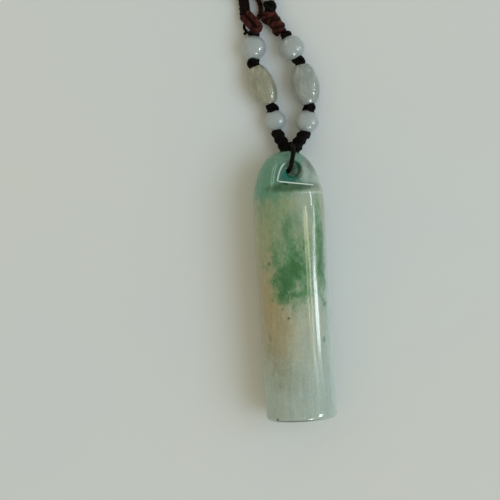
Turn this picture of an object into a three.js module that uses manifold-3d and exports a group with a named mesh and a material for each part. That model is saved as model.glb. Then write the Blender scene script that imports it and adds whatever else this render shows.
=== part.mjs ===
// Jade cylinder amulet with its beaded necklace cord, lying on a table.
// Millimetres, +Z up. The jade lies along Y, its domed and pierced end towards +Y.
// The origin is on the table, under the middle of the jade.

import * as THREE from 'three';
import { mergeVertices } from 'three/addons/utils/BufferGeometryUtils.js';
import Module from 'manifold-3d';

const wasm = await Module();
wasm.setup();

// Jade cylinder
const jadeLength = 55;
const jadeDiameter = 14.6;
const bottomEdgeRound = 0.9;
const flatSpotWidth = 3;
const domeHeight = 10.9; // where the dome's curve would run out into the cylinder
const creaseFromTip = 8.9; // the polished ring where the dome really stops
const creaseTaper = 2.2; // length below the crease in which the cylinder gets its full width
const domeSidePower = 2.65;
const domeTipPower = 1.65;
const ringCrowding = 2.4; // draws the dome's rings together towards its tip

// Two flats ground on the dome, front and back, and the hole through them
const tabThickness = 9.8; // between the flats, at the hole
const flatLength = 6.9; // from the tip down to the step
const flatSlope = THREE.MathUtils.degToRad(10.5);
const stepSlope = THREE.MathUtils.degToRad(45); // of the rise from the flat to the full width
const flatSkew = THREE.MathUtils.degToRad(8);
const flatRoll = THREE.MathUtils.degToRad(16.5); // the flats look up and to the right
const holeDiameter = 3.2;
const holeFromTip = 3.9;

// Beads
const beadBore = 1.6;
const leftLowerBeadDiameter = 4.6;
const rightLowerBeadDiameter = 4.9;
const upperBeadDiameter = 5.3;
const barrelBeadLength = 8.4;
const barrelEndDiameter = 3;
const leftBarrelDiameter = 5.4;
const rightBarrelDiameter = 5.8;

// String, its knots and the thread wound round its two legs
const stringDiameter = 0.95;
const centreKnotSize = [4.3, 2.3, 2.6];
const legWrapLength = 2.4;
const legWrapDiameter = 2.5;
const legWrapWaist = 2.15;
const legWrapFullness = 0.6; // below one, the lobes are fuller than a sine
const lowerKnotLength = 0.75;
const lowerKnotDiameter = 2.3;
const middleKnotLength = 0.8;
const middleKnotDiameter = 2.5;
const topKnotLength = 1;
const topKnotDiameter = 2.1;
const endKnotLength = 1.2;
const endKnotDiameter = 2.3;
const touchingGap = 0.3; // left between pieces that touch in the real object

// Red-brown cord work above the upper beads, and the neck cord
const twistDiameter = 2.8;
const bandWidth = 2.4;
const bandThickness = 1.9;
const darkWrapDiameter = 2.4;
const looseStrandDiameter = 0.85;
const neckCordDiameter = 2.5;

// Hank of the folded neck cord, tied at its waist
const hankStraight = 45;
const hankBendRadius = 5; // of the innermost turn's middle line
const hankTurnsAcross = 2;
const hankLayers = 2;
const hankX = -1.25;
const hankNearBendY = 81.5;
const tieWidth = 2;
const tieThickness = 0.8;

// Routes of the cords, chosen by hand
const leftLegRoute = route([
  [0.7, 28.5, 2.8], [-0.05, 29.35, 2.7], [-1.3, 32.1, 2.45], [-2.05, 36.7, 2.35], [-2.45, 37.9, 2.65],
  [-5.3, 46, 2.8], [-5.35, 46.9, 2.75], [-5.15, 49.8, 2.65], [-5, 52.4, 2.5], [-5.3, 53.5, 2.1],
  [-5.9, 56, 1.3], [-6, 60, 1],
]);
const rightLegRoute = route([
  [1.5, 28.5, 2.8], [2.6, 29.2, 2.9], [4.45, 31.5, 2.8], [5.65, 35.9, 2.45], [5.85, 36.9, 2.85],
  [5.1, 41.4, 2.95], [4.4, 45.5, 2.98], [3.75, 46.9, 2.8], [1.85, 51.7, 2.55], [1.3, 52.9, 2.1],
  [0.7, 55, 1.5], [-1, 59, 1.5],
]);
const hangingLoopRoute = route([
  [1.3, 28.5, 3.2], [1.5, 28.75, 5.2], [1.55, 28.45, 7.6], [1.55, 28.2, 9.6], [1.5, 27.6, 11.3],
  [1.4, 26.6, 12.55], [1.25, 25.4, 13.05], [0.9, 23.95, 12.45], [0.5, 23.25, 10.9], [0, 23.25, 9],
  [-0.55, 23.25, 6.6], [-1.1, 23.2, 4.4], [-1.35, 23.4, 2.6], [-1.4, 24.3, 1.15], [-1.2, 25.8, 0.75],
  [-0.5, 27.2, 0.95], [0.3, 28.1, 1.7], [0.9, 28.5, 2.4],
]);
const leftBandRoute = route([[-3.25, 53.6, 4.2], [-4.55, 54.95, 3.4], [-5.95, 56, 2]]);
const leftDarkWrapRoute = route([[-6.5, 57, 1.3], [-6.5, 58.8, 1.3], [-6.7, 60.6, 1.3]]);
const leftLooseStrandRoute = route([
  [-3.75, 56.2, 1.3], [-3.25, 57.2, 1.1], [-3.15, 58.6, 0.9], [-3.55, 60, 0.8], [-4.5, 61.1, 0.8],
]);
const rightTwistRoute = route([
  [0.75, 53.2, 1.6], [0.3, 54.5, 1.5], [-0.75, 55.9, 1.5], [-1.3, 57.2, 1.5],
]);
const leftUpperRoute = route([
  [-6.8, 61.3, 2.3], [-6.95, 62.1, 2.6], [-7.4, 65, 2.67], [-7.85, 67.8, 2.6],
  [-8.3, 69.3, 2], [-9.5, 72, 1.5],
]);
const rightUpperRoute = route([
  [-1.15, 57.8, 2.3], [-1.25, 58.7, 2.6], [-1.4, 61.5, 2.67], [-1.5, 64.3, 2.6],
  [-1.5, 65.8, 2], [-1, 69, 1.5],
]);
const leftNeckRoute = route([
  [-8.6, 69.9, 1.35], [-8.65, 71.2, 1.3], [-8.7, 73, 1.27], [-8.75, 74.9, 1.26],
]);
const rightNeckRoute = route([
  [-1.45, 66.4, 1.45], [-1.05, 68.2, 1.4], [0.6, 70.1, 1.5], [2.6, 71.4, 1.75], [4.1, 72.5, 2.1],
]);

// Fineness of the facets
const jadeSides = 56;
const domeRings = 11;
const edgeRings = 4;
const holeSides = 20;
const beadSides = 16;
const beadRings = 7;
const barrelRings = 8;
const knotSides = 10;
const knotRings = 7;
const cordSides = 8;
const ropeSides = 10;
const hankEndSides = 20;
const stringStep = 2.7; // near three diameters
const loopStep = 1.4; // shorter, because the loop bends tightly
const neckStep = 5.5;
const curveSamplesPerStep = 4;
const weldDistance = 1e-4;

const jadeRadius = jadeDiameter / 2;
const tipY = jadeLength / 2;
const axisHeight = Math.sqrt(jadeRadius ** 2 - (flatSpotWidth / 2) ** 2);

const xAxis = new THREE.Vector3(1, 0, 0);
const yAxis = new THREE.Vector3(0, 1, 0);
const zAxis = new THREE.Vector3(0, 0, 1);

const part = new THREE.Group();

function material(color, roughness) {
  return new THREE.MeshStandardMaterial({ color, roughness, metalness: 0 });
}

const greenJade = material(0x8fa487, 0.12);
const whiteJade = material(0xc3ccc8, 0.15);
const beigeJade = material(0xa9a894, 0.2);
const greyJade = material(0x9ea6a2, 0.2);
const barrelFinish = { left: beigeJade, right: greyJade };
const blackThread = material(0x141013, 0.8);
const redThread = material(0x4a1712, 0.75);
const darkCord = material(0x24120f, 0.8);

function route(points) {
  return new THREE.CatmullRomCurve3(points.map((point) => new THREE.Vector3(...point)), false, 'centripetal');
}

function addMesh(name, geometry, finish) {
  const mesh = new THREE.Mesh(geometry, finish);
  mesh.name = name;
  part.add(mesh);
  return mesh;
}

// A closed geometry with its shared vertices merged, as a solid that can be cut and joined.
function toSolid(geometry) {
  const bare = geometry.clone();
  bare.deleteAttribute('normal');
  bare.deleteAttribute('uv');
  const welded = mergeVertices(bare, weldDistance);
  const corners = welded.index.array;
  const kept = [];
  for (let i = 0; i < corners.length; i += 3) {
    const [a, b, c] = corners.slice(i, i + 3);
    if (a !== b && b !== c && c !== a) kept.push(a, b, c);
  }
  return new wasm.Manifold(new wasm.Mesh({
    numProp: 3,
    vertProperties: Float32Array.from(welded.attributes.position.array),
    triVerts: Uint32Array.from(kept),
  }));
}

function toGeometry(solid) {
  const { vertProperties, triVerts } = solid.getMesh();
  const geometry = new THREE.BufferGeometry();
  geometry.setAttribute('position', new THREE.BufferAttribute(vertProperties, 3));
  geometry.setIndex(new THREE.BufferAttribute(triVerts, 1));
  return geometry;
}

function joined(geometries) {
  return toGeometry(geometries.map(toSolid).reduce((all, next) => all.add(next)));
}

// Radius of the dome at a distance below its tip.
function domeRadius(fromTip) {
  const rise = (domeHeight - fromTip) / domeHeight;
  return jadeRadius * (1 - rise ** domeTipPower) ** (1 / domeSidePower);
}

// Half outline of the jade, from the middle of its flat lower end to the tip of the dome.
function jadeOutline() {
  const bottomY = -tipY;
  const outline = [new THREE.Vector2(0, bottomY)];
  for (let i = 0; i <= edgeRings; i += 1) {
    const angle = (i / edgeRings) * (Math.PI / 2);
    const inset = bottomEdgeRound * (1 - Math.sin(angle));
    const lift = bottomEdgeRound * (1 - Math.cos(angle));
    outline.push(new THREE.Vector2(jadeRadius - inset, bottomY + lift));
  }
  outline.push(new THREE.Vector2(jadeRadius, tipY - creaseFromTip - creaseTaper));
  for (let i = domeRings; i > 0; i -= 1) {
    const fromTip = creaseFromTip * (i / domeRings) ** ringCrowding;
    outline.push(new THREE.Vector2(domeRadius(fromTip), tipY - fromTip));
  }
  outline.push(new THREE.Vector2(0, tipY));
  return outline;
}

// A block that grinds one flat on the dome: its lower face lies in the flat and its end makes the step.
function flatCutter() {
  const height = jadeDiameter;
  const length = flatLength * 2;
  const stepDepth = tabThickness / 2 + Math.tan(flatSlope) * (flatLength - holeFromTip);
  const side = new THREE.Shape([
    new THREE.Vector2(0, 0), new THREE.Vector2(length, 0), new THREE.Vector2(length, height),
    new THREE.Vector2(-height / Math.tan(stepSlope), height),
  ]);
  const block = new THREE.ExtrudeGeometry(side, { depth: jadeDiameter * 2, bevelEnabled: false });
  block.translate(0, 0, -jadeDiameter);
  block.applyMatrix4(new THREE.Matrix4().makeBasis(yAxis, zAxis, xAxis));
  block.rotateZ(-flatSkew);
  block.rotateX(-flatSlope);
  block.translate(0, tipY - flatLength, stepDepth);
  return block;
}

function jadeGeometry() {
  const body = toSolid(new THREE.LatheGeometry(jadeOutline(), jadeSides));
  const frontFlat = flatCutter();
  const backFlat = flatCutter().rotateY(Math.PI);
  const hole = new THREE.CylinderGeometry(holeDiameter / 2, holeDiameter / 2, jadeDiameter * 2, holeSides);
  hole.rotateX(Math.PI / 2).translate(0, tipY - holeFromTip, 0);
  const flatSpot = new THREE.BoxGeometry(jadeDiameter * 2, jadeLength * 2, jadeRadius);
  flatSpot.translate(0, 0, -axisHeight - jadeRadius / 2);
  const cutters = [frontFlat, backFlat, hole].map((cutter) => cutter.rotateY(flatRoll));
  const cut = [...cutters, flatSpot].reduce((left, cutter) => left.subtract(toSolid(cutter)), body);
  return toGeometry(cut);
}

const jade = addMesh('jade_cylinder', jadeGeometry(), greenJade);
jade.position.z = axisHeight;

// Beads and wraps are turned round Y and bored for the string.
function boredLathe(outerOutline, sides) {
  const first = outerOutline[0];
  const last = outerOutline[outerOutline.length - 1];
  const bore = beadBore / 2;
  const outline = [new THREE.Vector2(bore, first.y), ...outerOutline, new THREE.Vector2(bore, last.y)];
  outline.push(outline[0].clone());
  const clean = outline.filter((point, i) => i === 0 || point.distanceTo(outline[i - 1]) > weldDistance);
  return new THREE.LatheGeometry(clean, sides);
}

function roundBead(diameter) {
  const radius = diameter / 2;
  const end = Math.acos(beadBore / diameter);
  const outline = [];
  for (let i = 0; i <= beadRings; i += 1) {
    const angle = THREE.MathUtils.lerp(-end, end, i / beadRings);
    outline.push(new THREE.Vector2(radius * Math.cos(angle), radius * Math.sin(angle)));
  }
  return boredLathe(outline, beadSides);
}

// A barrel is an ellipse turned round the bore and cut off square at both ends.
function barrelBead(diameter) {
  const end = Math.acos(barrelEndDiameter / diameter);
  const halfAxis = barrelBeadLength / 2 / Math.sin(end);
  const outline = [];
  for (let i = 0; i <= barrelRings; i += 1) {
    const angle = THREE.MathUtils.lerp(-end, end, i / barrelRings);
    outline.push(new THREE.Vector2((diameter / 2) * Math.cos(angle), halfAxis * Math.sin(angle)));
  }
  return boredLathe(outline, beadSides);
}

// Thread wound round one leg of the string, in two lobes with a waist between them.
function legWrap() {
  const lobes = 2;
  const rings = 10;
  const outline = [];
  for (let i = 0; i <= rings; i += 1) {
    const along = i / rings;
    const swell = Math.abs(Math.sin(along * lobes * Math.PI)) ** legWrapFullness;
    const radius = THREE.MathUtils.lerp(legWrapWaist, legWrapDiameter, swell) / 2;
    outline.push(new THREE.Vector2(radius, (along - 0.5) * legWrapLength));
  }
  return boredLathe(outline, beadSides);
}

// The middle and direction of a stretch of a route, where a piece of that length sits.
function seat(curve, start, length) {
  const total = curve.getLength();
  const from = curve.getPointAt(start / total);
  const to = curve.getPointAt((start + length) / total);
  return { middle: from.clone().lerp(to, 0.5), direction: to.clone().sub(from).normalize() };
}

function threadOn(name, geometry, finish, place) {
  const mesh = addMesh(name, geometry, finish);
  mesh.position.copy(place.middle);
  mesh.quaternion.setFromUnitVectors(yAxis, place.direction);
  return mesh;
}

function knot(length, diameter, place) {
  const ball = new THREE.SphereGeometry(0.5, knotSides, knotRings);
  ball.scale(diameter, length, diameter);
  ball.applyQuaternion(new THREE.Quaternion().setFromUnitVectors(yAxis, place.direction));
  ball.translate(...place.middle.toArray());
  return ball;
}

function polygon(width, height, sides) {
  const shape = new THREE.Shape();
  for (let i = 0; i < sides; i += 1) {
    const angle = ((i + 0.5) / sides) * Math.PI * 2;
    const x = (width / 2) * Math.cos(angle);
    const y = (height / 2) * Math.sin(angle);
    if (i === 0) shape.moveTo(x, y);
    else shape.lineTo(x, y);
  }
  shape.closePath();
  return shape;
}

// A cord of the given section along a curve, drawn up to a length along it.
function tube(curve, section, step, length = curve.getLength()) {
  const share = length / curve.getLength();
  const steps = Math.ceil(length / step);
  const samples = steps * curveSamplesPerStep;
  const points = Array.from({ length: samples + 1 }, (_, i) => curve.getPointAt((share * i) / samples));
  const extrudePath = new THREE.CatmullRomCurve3(points);
  return new THREE.ExtrudeGeometry(section, { steps, extrudePath, bevelEnabled: false });
}

// Wrap, beads and knots of one side, set one after the other along the string.
// The knots are tied in the string itself, so they are joined to it.
function strungSide(side, curve, lowerBeadDiameter, barrelDiameter) {
  const lowerBead = roundBead(lowerBeadDiameter);
  const barrel = barrelBead(barrelDiameter);
  const upperBead = roundBead(upperBeadDiameter);
  const pieces = [
    { name: 'leg_wrap', length: legWrapLength, geometry: legWrap(), finish: blackThread },
    { name: 'lower_bead', length: lowerBeadDiameter, geometry: lowerBead, finish: whiteJade },
    { knotDiameter: lowerKnotDiameter, length: lowerKnotLength },
    { name: 'barrel_bead', length: barrelBeadLength, geometry: barrel, finish: barrelFinish[side] },
    { knotDiameter: middleKnotDiameter, length: middleKnotLength },
    { name: 'upper_bead', length: upperBeadDiameter, geometry: upperBead, finish: whiteJade },
    { knotDiameter: topKnotDiameter, length: topKnotLength },
  ];
  return strungPieces(side, curve, pieces, centreKnotSize[1] / 2 + touchingGap);
}

function strungPieces(side, curve, pieces, start) {
  const knots = [];
  let reached = start;
  pieces.forEach((piece) => {
    const place = seat(curve, reached, piece.length);
    if (piece.knotDiameter) knots.push(knot(piece.length, piece.knotDiameter, place));
    else threadOn(`${side}_${piece.name}`, piece.geometry, piece.finish, place);
    reached += piece.length + touchingGap;
  });
  const stringEnd = reached - touchingGap - pieces[pieces.length - 1].length / 2;
  return [tube(curve, stringSection, stringStep, stringEnd), ...knots];
}

const stringSection = polygon(stringDiameter, stringDiameter, cordSides);

// The string with its tied knots: one cord from the left top knot through the jade to the right one.
function beadString() {
  const middle = leftLegRoute.getPointAt(0).lerp(rightLegRoute.getPointAt(0), 0.5);
  const centreKnot = new THREE.SphereGeometry(0.5, knotSides, knotRings);
  centreKnot.rotateX(Math.PI / 2).scale(...centreKnotSize).translate(...middle.toArray());
  const loop = tube(hangingLoopRoute, stringSection, loopStep);
  const left = strungSide('left', leftLegRoute, leftLowerBeadDiameter, leftBarrelDiameter);
  const right = strungSide('right', rightLegRoute, rightLowerBeadDiameter, rightBarrelDiameter);
  return joined([centreKnot, loop, ...left, ...right]);
}

addMesh('bead_string', beadString(), blackThread);

// Above the red-brown work, a last bead on each side between two knots.
function upperString(side, curve) {
  const bead = roundBead(upperBeadDiameter);
  const pieces = [
    { knotDiameter: topKnotDiameter, length: topKnotLength },
    { name: 'third_bead', length: upperBeadDiameter, geometry: bead, finish: whiteJade },
    { knotDiameter: endKnotDiameter, length: endKnotLength },
  ];
  addMesh(`${side}_upper_string`, joined(strungPieces(side, curve, pieces, 0)), blackThread);
}

upperString('left', leftUpperRoute);
upperString('right', rightUpperRoute);

// Red-brown and dark cord work above the upper beads
const twistSection = polygon(twistDiameter, twistDiameter, ropeSides);
const bandSection = polygon(bandThickness, bandWidth, ropeSides);
const darkWrapSection = polygon(darkWrapDiameter, darkWrapDiameter, ropeSides);
const looseStrandSection = polygon(looseStrandDiameter, looseStrandDiameter, cordSides);

addMesh('right_twist', tube(rightTwistRoute, twistSection, twistDiameter / 3), redThread);
addMesh('left_twist', tube(leftBandRoute, bandSection, bandWidth / 3), redThread);
addMesh('left_dark_wrap', tube(leftDarkWrapRoute, darkWrapSection, darkWrapDiameter / 2), darkCord);
addMesh('left_loose_strand', tube(leftLooseStrandRoute, looseStrandSection, looseStrandDiameter), redThread);

// Neck cord: two runs on the table, and the rest of its length folded into a tied hank
const neckSection = polygon(neckCordDiameter, neckCordDiameter, cordSides);

addMesh('left_neck_cord', tube(leftNeckRoute, neckSection, neckStep), darkCord);
addMesh('right_neck_cord', tube(rightNeckRoute, neckSection, neckStep), darkCord);

const hankBreadth = hankTurnsAcross * neckCordDiameter; // of one side of the hank
const hankHeight = hankLayers * neckCordDiameter;
const hankEndRadius = hankBendRadius - neckCordDiameter / 2 + hankBreadth;
const waistDepth = hankEndRadius - hankBreadth; // the tie draws both sides together
const hankMiddleY = hankNearBendY + hankStraight / 2;
const tieLift = tieThickness + touchingGap; // the hank's waist lies this high over the table, on the tie

// Outline seen from above: a round end, a side drawn in at the waist, the other round end and side.
function hankOutline() {
  const outline = new THREE.Shape();
  const far = hankNearBendY + hankStraight;
  const pull = hankStraight / 4;
  const right = hankX + hankEndRadius;
  const left = hankX - hankEndRadius;
  outline.absarc(hankX, hankNearBendY, hankEndRadius, Math.PI, Math.PI * 2, false);
  outline.bezierCurveTo(right, hankNearBendY + pull, right - waistDepth, hankMiddleY - pull,
    right - waistDepth, hankMiddleY);
  outline.bezierCurveTo(right - waistDepth, hankMiddleY + pull, right, far - pull, right, far);
  outline.absarc(hankX, far, hankEndRadius, 0, Math.PI, false);
  outline.bezierCurveTo(left, far - pull, left + waistDepth, hankMiddleY + pull,
    left + waistDepth, hankMiddleY);
  outline.bezierCurveTo(left + waistDepth, hankMiddleY - pull, left, hankNearBendY + pull,
    left, hankNearBendY);
  return outline;
}

function hankGeometry() {
  const body = new THREE.ExtrudeGeometry(hankOutline(), {
    depth: hankHeight, bevelEnabled: false, curveSegments: hankEndSides,
  });
  const underTie = new THREE.BoxGeometry(hankEndRadius * 2, tieWidth + touchingGap * 2, tieLift * 2);
  underTie.translate(hankX, hankMiddleY, 0);
  return toGeometry(toSolid(body).subtract(toSolid(underTie)));
}

// The tie is a flat ring round the hank's waist.
function tieGeometry() {
  const innerWidth = 2 * (hankBreadth + touchingGap);
  const innerHeight = hankHeight - tieLift + touchingGap * 2;
  const outerWidth = innerWidth + tieThickness * 2;
  const outerHeight = innerHeight + tieThickness * 2;
  const outer = new THREE.BoxGeometry(outerWidth, tieWidth, outerHeight);
  const inner = new THREE.BoxGeometry(innerWidth, tieWidth * 2, innerHeight);
  return toGeometry(toSolid(outer).subtract(toSolid(inner))).translate(0, 0, outerHeight / 2);
}

addMesh('neck_cord_hank', hankGeometry(), darkCord);
const tie = addMesh('hank_tie', tieGeometry(), blackThread);
tie.position.set(hankX, hankMiddleY, 0);

export default part;
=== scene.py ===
"""Looks of a jade cylinder amulet with its beaded string and neck cord, lying on a table.

Metres, +Z up. The jade lies along Y, its domed and pierced end towards +Y. The origin is on the table,
under the middle of the jade.
"""

import math

import bpy
from mathutils import Matrix, Vector, noise


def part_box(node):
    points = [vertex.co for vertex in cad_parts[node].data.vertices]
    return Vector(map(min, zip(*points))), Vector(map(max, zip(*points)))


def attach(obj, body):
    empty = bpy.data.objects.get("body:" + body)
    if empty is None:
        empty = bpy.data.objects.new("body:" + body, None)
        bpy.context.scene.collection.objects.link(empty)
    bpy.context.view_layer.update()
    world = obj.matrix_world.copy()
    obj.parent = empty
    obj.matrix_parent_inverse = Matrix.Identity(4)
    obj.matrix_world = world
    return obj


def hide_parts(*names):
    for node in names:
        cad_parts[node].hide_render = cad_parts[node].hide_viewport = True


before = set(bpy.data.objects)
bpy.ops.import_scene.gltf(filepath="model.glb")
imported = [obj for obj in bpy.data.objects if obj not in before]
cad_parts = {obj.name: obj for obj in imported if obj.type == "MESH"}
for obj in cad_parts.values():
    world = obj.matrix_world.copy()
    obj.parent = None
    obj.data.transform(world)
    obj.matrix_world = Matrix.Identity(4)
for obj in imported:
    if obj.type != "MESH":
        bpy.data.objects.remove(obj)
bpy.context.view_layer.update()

# Camera, straight above the table and turned a little, as the picture was taken
camera_place = (-0.00853, 0.0077, 0.3)
camera_turn = math.radians(-3.57)
camera_lens = 102.5
camera_sensor = 36

# Jade, with its place and main size taken from the frame
jade_low, jade_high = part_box("jade_cylinder")
jade_radius = (jade_high.x - jade_low.x) / 2
jade_axis_height = jade_high.z - jade_radius
tip_y = jade_high.y
bottom_y = jade_low.y
dome_height = 0.0109
crease_from_tip = 0.0089
crease_taper = 0.0022
dome_side_power = 2.65
dome_tip_power = 1.65
bottom_edge_round = 0.0009
flat_half_thickness = 0.0049
flat_length = 0.0069
flat_slope = math.radians(10.5)
flat_skew = math.radians(8)
flat_roll = math.radians(16.5)
step_slope = math.radians(45)
flat_edge_round = 0.0003
flat_inner_round = 0.0003
hole_diameter = 0.0032
hole_from_tip = 0.0039
hole_mouth_flare = 0.0002
polish_wave = 0.000015
# Painted highlights: width, upper end and fade of the pale lines along the flats' edges, and the strength of the pale
# line on the crease ring
edge_highlight_width = 0.00016
edge_highlight_top = 0.0256
edge_highlight_fade = 0.001
ring_highlight = 0.45
jade_side_step = 0.0009
jade_dome_step = 0.000085
jade_sides = 336

# Beads, string and knots
bead_bore = 0.0016
barrel_length = 0.0084
barrel_end_diameter = 0.003
string_diameter = 0.00095
centre_knot_length = 0.0043
centre_knot_width = 0.0025
centre_knot_place = (0.0011, 0.0285, 0.0028)
leg_wrap_diameter = 0.0028
leg_wrap_strand = 0.0009
knot_overlap = 0.0011

# Knots of each side: width, roll and taper of the lower one, then width and roll of the middle and top ones
left_knots = (0.0028, 0.3, -0.35, 0.003, 1.1, 0.0027, 0.5)
right_knots = (0.0028, 1.7, -0.35, 0.0028, 0.2, 0.0026, 2.1)

# Neck cord and its tied hank
neck_cord_diameter = 0.0025
hank_x = -0.00125
hank_near_bend_y = 0.0815
hank_straight = 0.045
hank_inner_bend = 0.005
hank_waist_depth = 0.00375
hank_tie_lift = 0.0011

# Colours of the stones, threads and floor
jade_grey_green = (0.48, 0.5, 0.39)
jade_grey = (0.41, 0.46, 0.39)
jade_warm = (0.4, 0.335, 0.18)
jade_cool = (0.42, 0.52, 0.49)
# Painted highlight: a pale rim along the jade's right, lit side
jade_painted_rim_light = (0.62, 0.76, 0.74)
jade_cloud = (0.28, 0.33, 0.26)
jade_olive = (0.3, 0.36, 0.19)
jade_green = (0.06, 0.24, 0.085)
jade_deep_green = (0.015, 0.13, 0.035)
jade_teal = (0.001, 0.13, 0.1)
jade_teal_grey = (0.13, 0.31, 0.26)
jade_dome_grey = (0.09, 0.13, 0.11)
# Painted shadow: a dark line along the rim of the lower end
jade_painted_rim_shadow = (0.1, 0.13, 0.1)
# Painted light inside the hole, where little light reaches
jade_painted_hole_light = (0.66, 0.95, 0.8)
jade_soft_green = (0.17, 0.32, 0.2)
jade_mint = (0.1, 0.3, 0.2)
# Dark green of the band below the flats' steps, partly the stone's deeper green and partly painted shade
jade_band_green = (0.012, 0.1, 0.035)
jade_speck = (0.06, 0.07, 0.04)
# Pale colour of the painted highlights along the flats' edges and the crease ring
jade_painted_highlight = (0.85, 1, 0.94)
white_jade = [(0.55, 0.61, 0.64), (0.46, 0.52, 0.54), (0.68, 0.73, 0.75)]
beige_jade = [(0.44, 0.43, 0.33), (0.25, 0.27, 0.2), (0.66, 0.64, 0.52)]
grey_jade = [(0.44, 0.48, 0.48), (0.26, 0.31, 0.3), (0.62, 0.68, 0.68)]
bead_speck = (0.2, 0.22, 0.17)
barrel_finishes = {"left": (beige_jade, "beige_jade"), "right": (grey_jade, "grey_jade")}
room_colour = (0.52, 0.48, 0.355)

# Lights: name, use, azimuth, elevation, size, roll, colour and radiance
window_white = (0.8, 0.98, 1.0)
garden_green = (0.8, 1.0, 0.68)
pale_mint = (0.8, 1.0, 0.9)
lights = [
    ("wide_window", "shade", -13, 53, (0.95, 0.6), 0, (0.58, 0.78, 1.0), 2.3),
    ("low_window", "shine", -3, 17.5, (0.068, 0.25), 0, window_white, 9),
    ("low_window_end", "shine", 0.7, 11, (0.014, 0.325), 9.6, window_white, 11),
    ("low_window_top", "shine", 8.5, 13, (0.17, 0.06), 0, window_white, 10),
    ("garden_pane", "shine", -1, 36, (0.14, 0.022), 0, garden_green, 7),
    ("upper_garden_pane", "shine", -1, 47, (0.08, 0.02), 0, garden_green, 5),
    ("garden_pane_end", "shine", -5.5, 43, (0.012, 0.21), -10, garden_green, 5),
    ("garden_glow", "shine", 1.6, 40, (0.045, 0.26), 0, (1.0, 0.95, 0.55), 2.6),
    ("lower_garden_glow", "shine", -2.5, 33, (0.1, 0.1), 0, garden_green, 1.4),
    ("small_pane", "shine", -7.1, 32, (0.006, 0.22), -3.6, window_white, 9),
    ("bead_window", "shine", -17, 25, (0.17, 0.24), 0, window_white, 14),
    ("side_window", "shine", -68, 23, (0.36, 0.2), 25, window_white, 14),
    ("back_window", "shine", 131, 20, (0.04, 0.63), -53, pale_mint, 4),
    ("back_window_frame", "shine", 138, 15, (0.03, 0.6), -53, pale_mint, 4),
]
# Thread tints: darkest, main, and a pale one for raised fibres, partly wear and partly painted sheen
black_tints = [(0.002, 0.0015, 0.0015), (0.004, 0.0032, 0.0032), (0.013, 0.01, 0.009)]
red_tints = [(0.002, 0.0008, 0.0008), (0.024, 0.0045, 0.0042), (0.25, 0.064, 0.048)]
dark_tints = [(0.002, 0.0012, 0.0012), (0.006, 0.003, 0.0028), (0.022, 0.009, 0.008)]
# Painted shade in the hollows between a thread's plies
groove_painted_shade = (0.003, 0.0015, 0.0015)
floor_cool = (0.745, 0.785, 0.815)
floor_warm = (0.77, 0.785, 0.785)
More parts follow.
